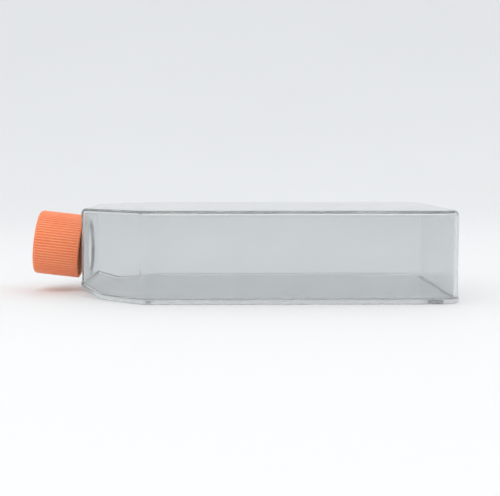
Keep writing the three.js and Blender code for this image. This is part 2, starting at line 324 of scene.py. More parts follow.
def lofted(name, rings, cover):
    """A closed solid through the rings, with cover's faces over the first and the last."""
    span = len(rings[0])
    faces = strips(rings) + [face[::-1] for face in cover(0, span)]
    faces += cover((len(rings) - 1) * span, span)
    return closed_piece(name, [point for ring in rings for point in ring], faces)


def polar(radius, a):
    """The two coordinates of a point at this radius and angle."""
    return radius * math.cos(a), radius * math.sin(a)


def arc(centre, radius, start, end, steps):
    """Points on a quarter or other part of a circle, in a profile's own two directions."""
    angles = [start + (end - start) * i / steps for i in range(steps + 1)]
    return [(centre[0] + x, centre[1] + y) for x, y in (polar(radius, a) for a in angles)]


def eased(t):
    """Runs from 0 to 1 with a level start and end."""
    return t * t * (3 - 2 * t)


def swung(t, start, middle, end):
    """Runs from start to end along a curve that middle pulls on."""
    return (1 - t) ** 2 * start + 2 * t * (1 - t) * middle + t * t * end


def revolved(profile, steps, place=None, lean=0.0):
    """Points and faces of a profile of (radius, height) or (radius, height, follow) points, turned
    about +Z. Where follow is 1 the height leans with a wall that crosses the axis at a slant."""
    verts, rings, faces = [], [], []
    for point in profile:
        radius, height, follow = (*point, 0.0)[:3]
        around = [0.0] if radius == 0 else [TURN * i / steps for i in range(steps)]
        rings.append(range(len(verts), len(verts) + len(around)))
        for a in around:
            tilt = follow * lean * radius * math.cos(a)
            verts.append(Vector((*polar(radius, a), height + tilt)))
    pairs = list(zip(rings, rings[1:]))
    if len(rings[0]) > 1 and len(rings[-1]) > 1:
        pairs.append((rings[-1], rings[0]))
    for low, high in pairs:
        for i in range(steps):
            j = (i + 1) % steps
            if len(low) == 1:
                faces.append((low[0], high[j], high[i]))
            elif len(high) == 1:
                faces.append((low[i], low[j], high[0]))
            else:
                faces.append((low[i], low[j], high[j], high[i]))
    if place:
        verts = [place @ v for v in verts]
    return verts, faces


# ---- Nodes ----

BEAD_SIDES = 8


def feed(tree, socket, value):
    """Links a socket to another one, or sets it."""
    if isinstance(value, bpy.types.NodeSocket):
        tree.links.new(value, socket)
    elif socket.type == "RGBA":
        socket.default_value = (*value, 1)
    else:
        socket.default_value = value


def add_node(tree, kind, inputs=None, **settings):
    """A node with its settings made and its inputs set or linked, by name or by number."""
    node = tree.nodes.new(kind)
    for name, value in settings.items():
        setattr(node, name, value)
    for name, value in (inputs or {}).items():
        feed(tree, node.inputs[name], value)
    return node


def new_tree(name, **sockets):
    """A Geometry Nodes tree that takes a geometry and the named sockets and gives a geometry."""
    tree = bpy.data.node_groups.new(name, "GeometryNodeTree")
    tree.is_modifier = True
    tree.interface.new_socket("Geometry", in_out="OUTPUT", socket_type="NodeSocketGeometry")
    for label, kind in {"Geometry": "Geometry", **sockets}.items():
        tree.interface.new_socket(label, in_out="INPUT", socket_type="NodeSocket" + kind)
    return tree, tree.nodes.new("NodeGroupInput").outputs


def end_tree(tree, geometry, material):
    """Ends a tree in Realize Instances and Set Material."""
    real = add_node(tree, "GeometryNodeRealizeInstances", {"Geometry": geometry})
    painted = add_node(
        tree, "GeometryNodeSetMaterial", {"Geometry": real.outputs[0], "Material": material}
    )
    add_node(tree, "NodeGroupOutput", {0: painted.outputs[0]})
    return tree


def turned_copies_tree():
    """Copies of the mesh turned about +Z by even steps, each a little further along it."""
    tree, given = new_tree(
        "Turned copies", Count="Int", Step="Float", Rise="Float", Material="Material"
    )
    index = tree.nodes.new("GeometryNodeInputIndex").outputs[0]

    def along_z(each):
        product = add_node(tree, "ShaderNodeMath", {0: index, 1: each}, operation="MULTIPLY")
        return add_node(tree, "ShaderNodeCombineXYZ", {"Z": product.outputs[0]}).outputs[0]

    turn = add_node(tree, "FunctionNodeEulerToRotation", {"Euler": along_z(given["Step"])})
    points = add_node(
        tree, "GeometryNodePoints", {"Count": given["Count"], "Position": along_z(given["Rise"])}
    )
    inputs = {"Points": points.outputs[0], "Instance": given["Geometry"]}
    inputs |= {"Rotation": turn.outputs[0]}
    copies = add_node(tree, "GeometryNodeInstanceOnPoints", inputs)
    return end_tree(tree, copies.outputs[0], given["Material"])


def bead_tree():
    """A thin uneven bead along the mesh's edges."""
    numbers = dict.fromkeys(("Radius", "Step", "Wander", "Coarseness"), "Float")
    tree, given = new_tree("Weld bead", **numbers, Material="Material")
    path = add_node(tree, "GeometryNodeMeshToCurve", {"Mesh": given["Geometry"]})
    inputs = {"Curve": path.outputs[0], "Length": given["Step"]}
    even = add_node(tree, "GeometryNodeResampleCurve", inputs, mode="LENGTH")
    cloud = add_node(tree, "ShaderNodeTexNoise", {"Scale": given["Coarseness"], "Detail": 1.0})
    inputs = {0: cloud.outputs["Color"], 1: (0.5, 0.5, 0.5)}
    centred = add_node(tree, "ShaderNodeVectorMath", inputs, operation="SUBTRACT")
    inputs = {0: centred.outputs[0], "Scale": given["Wander"]}
    offset = add_node(tree, "ShaderNodeVectorMath", inputs, operation="SCALE")
    inputs = {"Geometry": even.outputs[0], "Offset": offset.outputs[0]}
    moved = add_node(tree, "GeometryNodeSetPosition", inputs)
    inputs = {"Resolution": BEAD_SIDES, "Radius": given["Radius"]}
    section = add_node(tree, "GeometryNodeCurvePrimitiveCircle", inputs)
    inputs = {"Curve": moved.outputs[0], "Profile Curve": section.outputs[0]}
    tube = add_node(tree, "GeometryNodeCurveToMesh", inputs)
    return end_tree(tree, tube.outputs[0], given["Material"])


def run_tree(piece, tree, **values):
    """Runs a tree on the piece with its named inputs set, and keeps the result as a plain mesh."""
    step = piece.modifiers.new(tree.name, "NODES")
    step.node_group = tree
    for socket in tree.interface.items_tree:
        if socket.in_out == "INPUT" and socket.name in values:
            step[socket.identifier] = values[socket.name]
    bake_modifiers(piece)
    return piece


def turned_copies(piece, number, step, rise=0.0):
    """Turns the piece into this many copies of itself."""
    tree = bpy.data.node_groups.get("Turned copies") or turned_copies_tree()
    return run_tree(piece, tree, Count=number, Step=step, Rise=rise)


# ---- The flask's plan and the ramp ----

CORNER_STEPS = 10
EDGE_STEPS = 8
SMALL_EDGE_STEPS = 3
BEND_STEPS = 8


def ramp_slope(plate):
    return plate.ramp_rise / plate.ramp_length


def bend_x(flask, lift):
    """Where a surface at this lift bends up, so that surfaces at different lifts stay parallel."""
    slope = ramp_slope(flask.plate)
    return -flask.body.length / 2 + flask.plate.ramp_length + lift * math.tan(math.atan(slope) / 2)


def ramp_rise_at(plate, x, bend):
    """How far the ramp has risen at x, with its bend rounded."""
    past = bend - x
    if past <= -plate.bend:
        return 0.0
    if past >= plate.bend:
        return ramp_slope(plate) * past
    return ramp_slope(plate) * (past + plate.bend) ** 2 / (4 * plate.bend)


def half_plan(flask, inset, bend):
    """The plan's outline at +Y from the base wall to the neck wall, moved in by inset, with points
    where the ramp bends."""
    body, plate = flask.body, flask.plate
    half_length, half_width, half_end = body.length / 2, body.width / 2, body.end_width / 2
    corners = [
        Vector((half_length, -half_width)),
        Vector((half_length, half_width)),
        Vector((body.shoulder - half_length, half_width)),
        Vector((-half_length, half_end)),
        Vector((-half_length, -half_end)),
    ]
    radii = [body.base_corner, body.shoulder_corner, body.end_corner]
    arcs = []
    for before, corner, after, radius in zip(corners, corners[1:], corners[2:], radii):
        arriving, leaving = [
            Vector((a.y - b.y, b.x - a.x)).normalized()
            for a, b in ((before, corner), (corner, after))
        ]
        centre = corner + (arriving + leaving) * radius / (1 + arriving.dot(leaving))
        start = math.atan2(-arriving.y, -arriving.x)
        sweep = (math.atan2(-leaving.y, -leaving.x) - start) % TURN
        arcs.append(arc(centre, radius - inset, start, start + sweep, CORNER_STEPS))
    (x0, y0), (x1, y1) = arcs[1][-1], arcs[2][0]
    crossings = []
    for i in range(BEND_STEPS + 1):
        x = bend + plate.bend * (1 - 2 * i / BEND_STEPS)
        crossings.append((x, y0 + (y1 - y0) * (x - x0) / (x1 - x0)))
    return arcs[0] + arcs[1] + crossings + arcs[2]


def plan_ring(flask, inset, lift, bend_lift, follow=True):
    """The whole outline at a level, following the ramp or lying flat."""
    bend = bend_x(flask, bend_lift)
    upper = [
        Vector((x, y, lift + (ramp_rise_at(flask.plate, x, bend) if follow else 0.0)))
        for x, y in half_plan(flask, inset, bend)
    ]
    return upper + [Vector((p.x, -p.y, p.z)) for p in reversed(upper)]


def edge_rings(flask, centre, radius, start, end, bend_lift, steps=EDGE_STEPS, follow=True):
    """Outlines round an edge, whose arc has its centre at (inset, level)."""
    return [
        plan_ring(flask, centre[0] - out, centre[1] + up, bend_lift, follow)
        for out, up in arc((0.0, 0.0), radius, start, end, steps)
    ]


def neck_place():
    """The neck's own frame: +Z out along its axis and +X up, from the neck wall's outer face."""
    out = Vector(CAP_TURN["axis"]).normalized()
    across = Vector((0, 1, 0))
    up = across.cross(out).normalized()
    place = Matrix((up, across, out)).transposed().to_4x4()
    place.translation = Vector(CAP_TURN["pos_m"])
    return place


# ---- Finishes ----


class Finish:
    """A material in the making: its nodes are added and linked by name."""

    def __init__(self, name):
        self.material = bpy.data.materials.new(name)
        self.material.use_nodes = True
        self.tree = self.material.node_tree
        self.tree.nodes.clear()
        self.surface = self.node("ShaderNodeBsdfPrincipled")
        self.end = self.node("ShaderNodeOutputMaterial", {"Surface": self.surface.outputs[0]})
        self.place = self.node("ShaderNodeTexCoord").outputs["Object"]

    def node(self, kind, inputs=None, **settings):
        return add_node(self.tree, kind, inputs, **settings)

    def set(self, **values):
        for name, value in values.items():
            feed(self.tree, self.surface.inputs[name.replace("_", " ")], value)

    def let_lamps_through(self, tint):
        """Lamps reach what is behind this clear plastic, a little dimmed."""
        lamp = self.node("ShaderNodeLightPath").outputs["Is Shadow Ray"]
        clear = self.node("ShaderNodeBsdfTransparent", {"Color": tint}).outputs[0]
        mixed = self.node("ShaderNodeMixShader", {0: lamp, 1: self.surface.outputs[0], 2: clear})
        feed(self.tree, self.end.inputs["Surface"], mixed.outputs[0])

    def mapped(self, scale=(1, 1, 1), rotation=(0, 0, 0), location=(0, 0, 0), kind="POINT"):
        inputs = {"Vector": self.place, "Scale": scale, "Rotation": rotation, "Location": location}
        return self.node("ShaderNodeMapping", inputs, vector_type=kind).outputs[0]

    def noise(self, scale, vector=None, detail=3.0, roughness=0.55, distortion=0.0):
        """Object-space noise with this many features to the metre."""
        inputs = {"Vector": vector or self.place, "Scale": scale, "Detail": detail}
        inputs |= {"Roughness": roughness, "Distortion": distortion}
        return self.node("ShaderNodeTexNoise", inputs).outputs["Fac"]

    def ranged(self, value, low, high, to_low=0, to_high=1):
        inputs = {"Value": value, "From Min": low, "From Max": high}
        inputs |= {"To Min": to_low, "To Max": to_high}
        return self.node("ShaderNodeMapRange", inputs).outputs[0]

    def spread(self, value, to_low=0, to_high=1, about=0.2):
        """Stretches the middle of a noise, 0.5 with about on either side, over a range."""
        return self.ranged(value, 0.5 - about, 0.5 + about, to_low, to_high)

    def math(self, operation, first, second):
        inputs = {0: first, 1: second}
        return self.node("ShaderNodeMath", inputs, operation=operation).outputs[0]

    def plus(self, value, extra, times):
        return self.math("ADD", value, self.math("MULTIPLY", extra, times))

    def blend(self, factor, first, second):
        # The Mix node holds its colour sockets behind those for numbers and vectors.
        inputs = {0: factor, 6: first, 7: second}
        return self.node("ShaderNodeMix", inputs, data_type="RGBA").outputs[2]

    def shaded(self, tint, value, darkest, about=0.2):
        """The tint, down to a share of it where the noise is low."""
        tint = Vector(tint)
        return self.blend(self.spread(value, about=about), tint * darkest, tint)

    def bump(self, height, distance, normal=None):
        inputs = {"Height": height, "Distance": distance, "Strength": 1.0}
        if normal:
            inputs["Normal"] = normal
        return self.node("ShaderNodeBump", inputs).outputs[0]


def clear_plastic(name, looks, haze):
    """Clear moulded polystyrene: faint flow lines, a soft unevenness and sparse fine scuffs."""
    finish = Finish(name)
    flow = finish.noise(14, finish.mapped(scale=(0.35, 1, 1)), detail=2, distortion=1.5)
    smear = finish.noise(60, detail=4)
    along = finish.mapped(scale=(0.05, 1, 1), rotation=(0, 0, 0.12))
    scuffs = finish.ranged(finish.noise(420, along, detail=2), 0.66, 0.72)
    clean, smeared, scuffed = looks.plastic_gloss, looks.plastic_gloss + 0.03, 0.1
    rough = finish.ranged(smear, 0.35, 0.75, clean, smeared)
    rough = finish.plus(rough, scuffs, scuffed)
    if haze:
        normal = finish.node("ShaderNodeNewGeometry").outputs["Normal"]
        facing_up = finish.node("ShaderNodeSeparateXYZ", {0: normal}).outputs["Z"]
        treated = finish.ranged(facing_up, 0.8, 0.95, 0, haze)
        grain = finish.spread(finish.noise(900, detail=2), 0.6, 1.2)
        rough = finish.plus(rough, treated, grain)
    tint = Vector(looks.plastic)
    finish.set(
        Base_Color=finish.blend(finish.spread(smear), tint, tint * 0.97),
        Roughness=rough,
        Transmission_Weight=0.96,
        IOR=looks.plastic_index,
        Normal=finish.bump(scuffs, 0.002 * MM, normal=finish.bump(flow, 0.03 * MM)),
    )
    finish.let_lamps_through(looks.lamp_share)


def weld_plastic(looks):
    """Plastic squeezed out of the seam: milky, with fine bubbles."""
    finish = Finish("weld_plastic")
    bubbles = finish.noise(2600, detail=3, roughness=0.7)
    finish.set(
        Base_Color=finish.shaded(looks.weld, finish.noise(240, detail=2), 0.9, about=0.15),
        Roughness=finish.spread(bubbles, 0.18, 0.42),
        Transmission_Weight=0.75,
        IOR=looks.plastic_index,
        Normal=finish.bump(bubbles, 0.04 * MM),
    )


def cap_plastic(looks, crest_radius, place):
    """Orange moulded plastic with a fine grain. Its rib crests are smoother from wear and painted
    lighter, partly as wear and partly as a painted highlight.
    """
    finish = Finish("ribbed_cap_plastic")
    turn = place.to_euler()
    in_cap = finish.mapped(location=place.translation, rotation=turn, kind="TEXTURE")
    split = finish.node("ShaderNodeSeparateXYZ", {0: in_cap}).outputs
    flat = finish.node("ShaderNodeCombineXYZ", {"X": split["X"], "Y": split["Y"]}).outputs[0]
    length = finish.node("ShaderNodeVectorMath", {0: flat}, operation="LENGTH")
    worn_and_highlit_depth, smoothed = 0.25 * MM, -0.08
    # This mask paints the outermost band of each rib lighter. It is partly rub wear and partly a
    # painted highlight on the crests; it also makes them smoother.
    crest = finish.ranged(length.outputs["Value"], crest_radius - worn_and_highlit_depth, crest_radius)
    cloud = finish.noise(90, in_cap, detail=4)
    rubbed_and_highlit = finish.math("MULTIPLY", crest, finish.spread(cloud, 0.35, 1, about=0.15))
    grain = finish.noise(2600, in_cap, detail=2)
    streak = finish.noise(160, finish.mapped(scale=(0.2, 1, 1)), detail=3, distortion=0.6)
    shade = finish.shaded(looks.cap, streak, 0.93)
    rough = finish.spread(grain, looks.cap_gloss - 0.06, looks.cap_gloss + 0.08)
    finish.set(
        # Painted highlight and wear: the rib crests take the lighter colour.
        Base_Color=finish.blend(rubbed_and_highlit, shade, looks.cap_worn_and_highlit),
        Roughness=finish.plus(rough, rubbed_and_highlit, smoothed),
        Subsurface_Weight=0.12,
        Subsurface_Radius=(1.0, 0.35, 0.15),
        Subsurface_Scale=1.2 * MM,
        IOR=1.5,
        Normal=finish.bump(grain, 0.012 * MM),
    )


def membrane_fabric(looks):
    """White filter membrane: matted fibres on a soft support."""
    finish = Finish("membrane_fibre")
    pressed = finish.mapped(scale=(1, 1, 0.2), rotation=(0, 0, 0.5))
    fibres = finish.noise(2200, pressed, detail=5, distortion=1.2)
    finish.set(
        Base_Color=finish.shaded(looks.membrane, finish.noise(700, detail=3), 0.92),
        Roughness=finish.spread(fibres, 0.75, 0.95, about=0.3),
        Sheen_Weight=0.15,
        Normal=finish.bump(fibres, 0.03 * MM),
    )


def floor_paper(stage):
    """Pale matt paper with the faintest unevenness."""
    finish = Finish("pale_floor")
    finish.set(
        Base_Color=finish.shaded(stage.floor, finish.noise(2.5, detail=2), 0.985),
        Roughness=finish.spread(finish.noise(900, detail=1), 0.7, 0.8),
        Specular_IOR_Level=0.25,
    )
    return finish.material


# ---- Neck, thread and cap shapes, in the neck's frame ----

NECK_STEPS = 96
CAP_STEPS = 144
THREAD_STEPS_PER_TURN = 96
FEWEST_THREAD_STEPS = 8
FLARE_STEPS = 8
BORE_EDGE_STEPS = 4
LIP_STEPS = 6
CAP_CORNER_STEPS = 4
VENT_STEPS = 40
VENT_EDGE_STEPS = 5
MEMBRANE_STEPS = 72
MEMBRANE_ROWS = 16


def thread_base(neck):
    """The height of the thread where its angle is 0."""
    turns = neck.lug_count / neck.lugs_per_turn
    return neck.length - neck.thread_top - turns * neck.pitch


def ridge_offset(neck, cap):
    """How far below the neck's ridge the cap's ridge lies."""
    taper = (neck.root - neck.crest) / 2
    return neck.root - taper * (neck.ridge + cap.clearance) / neck.ridge + cap.flank_gap


def thread_ridge(name, neck, wall_radius, outward, base, start, end):
    """A helical ridge with rounded crests that grows out of its wall at both ends."""
    height, root, crest = neck.ridge, neck.root / 2, neck.crest / 2
    buried, sunk, curve = 0.3 * MM, 0.04 * MM, 0.14 * MM
    side = [
        (-buried, root + curve),
        (-HAIR, root + curve),
        (0.06 * height, root - 0.01 * MM),
        (0.84 * height, crest + 0.16 * (root - crest)),
        (0.95 * height, crest - 0.01 * MM),
        (height, crest - curve),
    ]
    section = [(r, -z) for r, z in side] + [(r, z) for r, z in reversed(side)]
    steps = max(FEWEST_THREAD_STEPS, round(THREAD_STEPS_PER_TURN * (end - start) / TURN))
    rings = []
    for i in range(steps + 1):
        a = start + (end - start) * i / steps
        grown = eased(min(1.0, min(a - start, end - a) / neck.runout))
        rise = base + neck.pitch * a / TURN
        ring = []
        for r, z in section:
            stand = r * grown - sunk * (1 - grown) if r > 0 else r
            ring.append(Vector((*polar(wall_radius + outward * stand, a), rise + z)))
        rings.append(ring)
    return lofted(name, rings, one_face)


def neck_plug(body, neck, place, lean):
    """The neck's outside as a solid that starts halfway through the neck wall."""
    radius = neck.bore + neck.wall
    root, fillet, settled = radius + neck.flare, neck.fillet, 0.06 * MM
    foot = root + fillet + 0.3 * MM
    profile = [(0, -body.wall / 2, 1), (foot, -body.wall / 2, 1), (foot, -HAIR * 3, 1)]
    for i in range(EDGE_STEPS + 1):
        # This curve leaves along the wall and arrives along the neck.
        t = i / EDGE_STEPS
        s = -HAIR * (1 - t) + t * t * fillet
        profile.append((swung(t, root + fillet, root, root - settled), s, 1))
    for i in range(1, FLARE_STEPS + 1):
        t = i / FLARE_STEPS
        r = root - settled - (neck.flare - settled) * eased(t)
        profile.append((r, fillet + (neck.flare_length - fillet) * t, 1 - eased(t)))
    lip_centre = (radius - neck.lip, neck.length - neck.lip)
    profile += arc(lip_centre, neck.lip, 0, QUARTER, LIP_STEPS) + [(0, neck.length)]
    return closed_piece("neck_plug", *revolved(profile, NECK_STEPS, place, lean))


def neck_bore(body, neck, place, lean):
    """What is cut out of the neck and the wall behind it."""
    reach, edge = 4 * MM, 0.5 * MM
    root = neck.bore + neck.flare
    inside = -body.wall * math.sqrt(1 + lean * lean)
    profile = [(0, inside - reach, 1), (root + edge, inside - reach, 1)]
    for i in range(BORE_EDGE_STEPS + 1):
        t = i / BORE_EDGE_STEPS
        profile.append((swung(t, root + edge, root, root), inside + t * t * edge, 1))
    for i in range(FLARE_STEPS + 1):
        t = i / FLARE_STEPS
        profile.append((root - neck.flare * eased(t), neck.flare_length * t, 1 - eased(t)))
    lip = neck.lip / 2
    profile += [
        (neck.bore, neck.length - lip),
        (neck.bore + lip * 0.3, neck.length - lip * 0.3),
        (neck.bore + lip, neck.length + HAIR),
        (neck.bore + lip, neck.length + reach),
        (0, neck.length + reach),
    ]
    return closed_piece("neck_bore", *revolved(profile, NECK_STEPS, place, lean))


def cap_sizes(neck, cap):
    """Radii and heights that the cap and the membrane share."""
    inner = neck.bore + neck.wall + neck.ridge + cap.clearance
    skirt = inner + cap.wall
    crest = skirt + cap.rib_height
    underside = neck.length + cap.seal_gap
    end = underside + cap.top
    return SimpleNamespace(
        inner=inner,
        skirt=skirt,
        crest=crest,
        underside=underside,
        end=end,
        rim=end - cap.height,
        seal=neck.bore - cap.seal_gap,
        edge_centre=(crest - cap.edge, end - cap.edge),
    )


def beside(radius, height, *offsets):
    """Points of a profile, each given in millimetres from this one."""
    return [(radius + out * MM, height + up * MM) for out, up in offsets]


def cap_shell(cap, s):
    """The cap without ribs and thread: skirt, rounded end, gate mark and sealing ring."""
    gate, chamfer = cap.gate, cap.chamfer
    deep, shallow = s.end - 0.25 * MM, s.end - 0.12 * MM
    profile = [(0, shallow), (0.35 * gate, shallow), (0.5 * gate, deep), (0.8 * gate, deep)]
    profile += beside(0.95 * gate, s.end, (0, -0.1)) + beside(gate, s.end, (0.08, -0.01), (0.2, 0))
    # The skirt meets the rounded end below the ribs' crests.
    reach = math.acos((s.skirt - s.edge_centre[0]) / cap.edge)
    profile += arc(s.edge_centre, cap.edge, QUARTER, reach, EDGE_STEPS)
    profile += beside(s.skirt, profile[-1][1], (0, -0.25))
    profile += beside(s.skirt, s.rim + chamfer, (0, 0.1), (-0.03, -0.05))
    profile += beside(s.skirt - chamfer, s.rim, (0.05, 0.04), (-0.08, 0))
    profile += beside(s.inner + chamfer, s.rim, (0, 0), (-0.1, 0.04))
    profile += beside(s.inner, s.rim + chamfer, (0.03, -0.08), (0, 0.08))
    corner = 0.5 * MM
    profile += arc((s.inner - corner, s.underside - corner), corner, 0, QUARTER, CAP_CORNER_STEPS)
    outside, inside, bottom = s.seal, s.seal - cap.seal_wall, s.underside - cap.seal_depth
    profile += [(outside, s.underside)]
    profile += beside(outside, bottom, (0, 0.3), (-0.08, 0.08), (-0.3, 0))
    profile += beside(inside, bottom, (0.3, 0), (0.08, 0.08), (0, 0.3))
    profile += [(inside, s.underside), (0, s.underside)]
    return closed_piece("cap", *revolved(profile, CAP_STEPS))


def cap_rib(cap, s):
    """One grip rib, whose crest follows the cap's rounded end and chamfered rim."""
    stations = [
        (s.rim + 0.12 * MM, s.crest - cap.chamfer),
        (s.rim + cap.chamfer * 0.8, s.crest - cap.chamfer * 0.25),
        (s.rim + cap.chamfer + 0.15 * MM, s.crest),
        (s.edge_centre[1] - 6 * MM, s.crest),
    ]
    reach = math.acos((s.skirt - 0.1 * MM - s.edge_centre[0]) / cap.edge)
    stations += [(z, r) for r, z in arc(s.edge_centre, cap.edge, 0, reach, EDGE_STEPS)]
    foot, crest, buried, sunk = cap.rib_foot / 2, cap.rib_crest / 2, 0.25 * MM, 0.03 * MM
    rings = []
    for height, top in stations:
        rise = max(top - s.skirt, -0.08 * MM)
        side = [
            (s.skirt - buried, foot + 0.1 * MM),
            (s.skirt - sunk, foot + 0.1 * MM),
            (s.skirt + 0.1 * rise, foot - 0.01 * MM),
            (s.skirt + 0.8 * rise, crest + 0.24 * (foot - crest)),
            (s.skirt + 0.95 * rise, crest),
            (s.skirt + rise, crest - 0.1 * MM),
        ]
        if rise <= 0:
            # Below the skirt's face the section lies flat, with its points just apart.
            side = [(min(r, s.skirt - sunk - i * HAIR / 10), y) for i, (r, y) in enumerate(side)]
        rings.append([Vector((r, -y, height)) for r, y in side])
        rings[-1] += [Vector((r, y, height)) for r, y in reversed(side)]
    return lofted("cap_ribs", rings, one_face)


def vent_cutter(cap, s):
    """One vent hole with a rounded edge, on the circle that the holes lie on."""
    over, edge, radius = 1 * MM, cap.vent_edge, cap.vent_radius
    profile = [(0, s.underside - over), (radius, s.underside - over)]
    profile += arc((radius + edge, s.end - edge), edge, 2 * QUARTER, QUARTER, VENT_EDGE_STEPS)[:-1]
    profile += [(radius + edge, s.end + HAIR), (radius + edge, s.end + over), (0, s.end + over)]
    cutter = closed_piece("vents", *revolved(profile, VENT_STEPS))
    to_ring = (*polar(cap.vent_ring, TURN / cap.vent_count / 2), 0)
    cutter.data.transform(Matrix.Translation(to_ring))
    return cutter


def membrane_disc(film, s, radius):
    """The membrane, with faces that are pressed in unevenly."""
    top = s.underside - film.gap
    bottom, edge = top - film.thickness, film.edge
    face = [radius * i / MEMBRANE_ROWS for i in range(MEMBRANE_ROWS)]
    profile = [(r, bottom) for r in face]
    profile += [(radius - edge, bottom), (radius, bottom + edge)]
    profile += [(radius, top - edge), (radius - edge, top)]
    profile += [(r, top) for r in reversed(face)]
    disc = closed_piece("filter_disc", *revolved(profile, MEMBRANE_STEPS))
    for vertex in disc.data.vertices:
        x, y, z = vertex.co
        away = math.hypot(x, y)
        if away < radius - 2 * edge:
            press = noise.noise(Vector((x, y, 0)) / film.grain)
            fade = 1 - (away / radius) ** 4
            inward = -1 if z > (top + bottom) / 2 else 1
            vertex.co.z += inward * film.relief * (0.5 + 0.5 * press) * fade
    return disc


# ---- Operators ----

SHARPEST_SMOOTH = 32 * DEGREE


def materials():
    """The flask's materials, made once."""
    flask = bpy.context.scene.flask
    looks = flask.finishes
    if "moulded_polystyrene" not in bpy.data.materials:
        clear_plastic("moulded_polystyrene", looks, 0)
        clear_plastic("treated_polystyrene", looks, looks.plate_haze)
        weld_plastic(looks)
        cap_plastic(looks, cap_sizes(flask.neck, flask.cap).crest, neck_place())
        membrane_fabric(looks)
    return bpy.data.materials


def finish_piece(piece, material):
    """Its material, crisp edges, and flat faces that stay flat beside a rounded edge."""
    paint(piece, materials()[material])
    tidy_mesh(piece.data, recalculate=False)
    piece.data.shade_smooth()
    piece.data.set_sharp_from_angle(angle=SHARPEST_SMOOTH)
    even = piece.modifiers.new("Even", "WEIGHTED_NORMAL")
    even.keep_sharp, even.weight = True, 100
    bake_modifiers(piece)


class FlaskOperator:
    bl_options = {"REGISTER", "UNDO"}

    def execute(self, context):
        self.make(context.scene.flask)
        return {"FINISHED"}


class FLASK_OT_body(FlaskOperator, bpy.types.Operator):
    """Makes the clear body with its neck and interrupted thread"""

    bl_idname = "flask.make_body"
    bl_label = "Make Body"

    def make(self, flask):
        body, plate, neck = flask.body, flask.plate, flask.neck
        piece = self.make_shell(flask, plate.step, plate.rim)
        place = neck_place()
        lean = -place.col[2].z / place.col[2].x
        outside = neck_plug(body, neck, place, lean)
        middle, per_turn = TURN / neck.lugs_per_turn / 2, neck.lugs_per_turn
        start, end = middle - neck.lug_span / 2, middle + neck.lug_span / 2
        radius = neck.bore + neck.wall
        lug = thread_ridge("neck_lugs", neck, radius, 1, thread_base(neck), start, end)
        turned_copies(lug, neck.lug_count, TURN / per_turn, neck.pitch / per_turn)
        lug.data.transform(place)
        combine(outside, lug, "UNION")
        combine(piece, outside, "UNION")
        combine(piece, neck_bore(body, neck, place, lean), "DIFFERENCE")
        finish_piece(piece, "moulded_polystyrene")
        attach(piece, "flask")
        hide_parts("flask_body")

    def make_shell(self, flask, step, rim):
        """Goes from the ceiling's edge inside the chamber down to the seam and up the outside."""
        body, wall, seam = flask.body, step + flask.body.wall, rim + HAIR
        inner, low, top = body.inner_edge, body.seam_edge, body.top_edge
        centre = (wall + inner, body.height - body.wall - inner)
        rings = edge_rings(flask, centre, inner, QUARTER, 0, rim, follow=False)
        for inset, start in ((wall - low, 2 * QUARTER), (step + low, 3 * QUARTER)):
            centre, end = (inset, seam + low), start + QUARTER
            rings += edge_rings(flask, centre, low, start, end, rim, SMALL_EDGE_STEPS)
        centre = (step + top, body.height - top)
        rings += edge_rings(flask, centre, top, 0, QUARTER, rim, follow=False)
        return lofted("body_shell", rings, ladder)


class FLASK_OT_plate(FlaskOperator, bpy.types.Operator):
    """Makes the growth plate with its rim and ramp"""

    bl_idname = "flask.make_plate"
    bl_label = "Make Growth Plate"

    def make(self, flask):
        body, plate = flask.body, flask.plate
        inner, floor, rim = plate.step + body.wall, plate.floor, plate.rim
        edge, small, clear = plate.lower_edge, plate.upper_edge, 0.05 * MM
        rings = edge_rings(flask, (edge, edge), edge, -QUARTER, 0, 0)
        for inset, start in ((small, 0), (inner - clear - small, QUARTER)):
            centre, end = (inset, rim - small), start + QUARTER
            rings += edge_rings(flask, centre, small, start, end, rim, SMALL_EDGE_STEPS)
        across, up = plate.floor_edge, min(plate.floor_edge, rim - small - floor)
        for x, z in arc((1, 1), 1, 2 * QUARTER, 3 * QUARTER, EDGE_STEPS):
            rings.append(plan_ring(flask, inner + across * x, floor + up * z, floor))
        piece = lofted("growth_plate_shell", rings, ladder)
        finish_piece(piece, "treated_polystyrene")
        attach(piece, "flask")
        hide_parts("growth_plate")


class FLASK_OT_weld(FlaskOperator, bpy.types.Operator):
    """Makes the bead of melted plastic along the seam"""

    bl_idname = "flask.make_weld"
    bl_label = "Make Weld Bead"

    def make(self, flask):
        plate = flask.plate
        # The bead lies in the corner between the rim's step and the wall, partly sunk in it.
        inset, level = plate.step - 0.4 * plate.bead, plate.rim + 0.35 * plate.bead
        route = plan_ring(flask, inset, level, plate.rim)
        loop = [(i, (i + 1) % len(route)) for i in range(len(route))]
        piece = mesh_object("weld_bead", route, edges=loop)
        run_tree(
            piece,
            bead_tree(),
            Radius=plate.bead,
            Step=1.2 * MM,
            Wander=plate.bead_wander,
            Coarseness=180.0,
            Material=materials()["weld_plastic"],
        )
        piece.data.shade_smooth()
        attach(piece, "flask")


class FLASK_OT_cap(FlaskOperator, bpy.types.Operator):
    """Makes the screw cap with its ribs, thread, sealing ring and vents"""

    bl_idname = "flask.make_cap"
    bl_label = "Make Cap"

    def make(self, flask):
        neck, cap = flask.neck, flask.cap
        s = cap_sizes(neck, cap)
        piece = cap_shell(cap, s)
        ribs = turned_copies(cap_rib(cap, s), cap.rib_count, TURN / cap.rib_count)
        combine(piece, ribs, "UNION")
        base = thread_base(neck) - ridge_offset(neck, cap)
        turns = neck.lug_count / neck.lugs_per_turn
        start, end = (turns - cap.thread_turns) * TURN, turns * TURN
        combine(piece, thread_ridge("cap_thread", neck, s.inner, -1, base, start, end), "UNION")
        vents = turned_copies(vent_cutter(cap, s), cap.vent_count, TURN / cap.vent_count)
        combine(piece, vents, "DIFFERENCE")
        piece.data.transform(neck_place())
        piece.name = "screw_cap"
        finish_piece(piece, "ribbed_cap_plastic")
        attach(piece, "cap")
        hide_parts("cap")


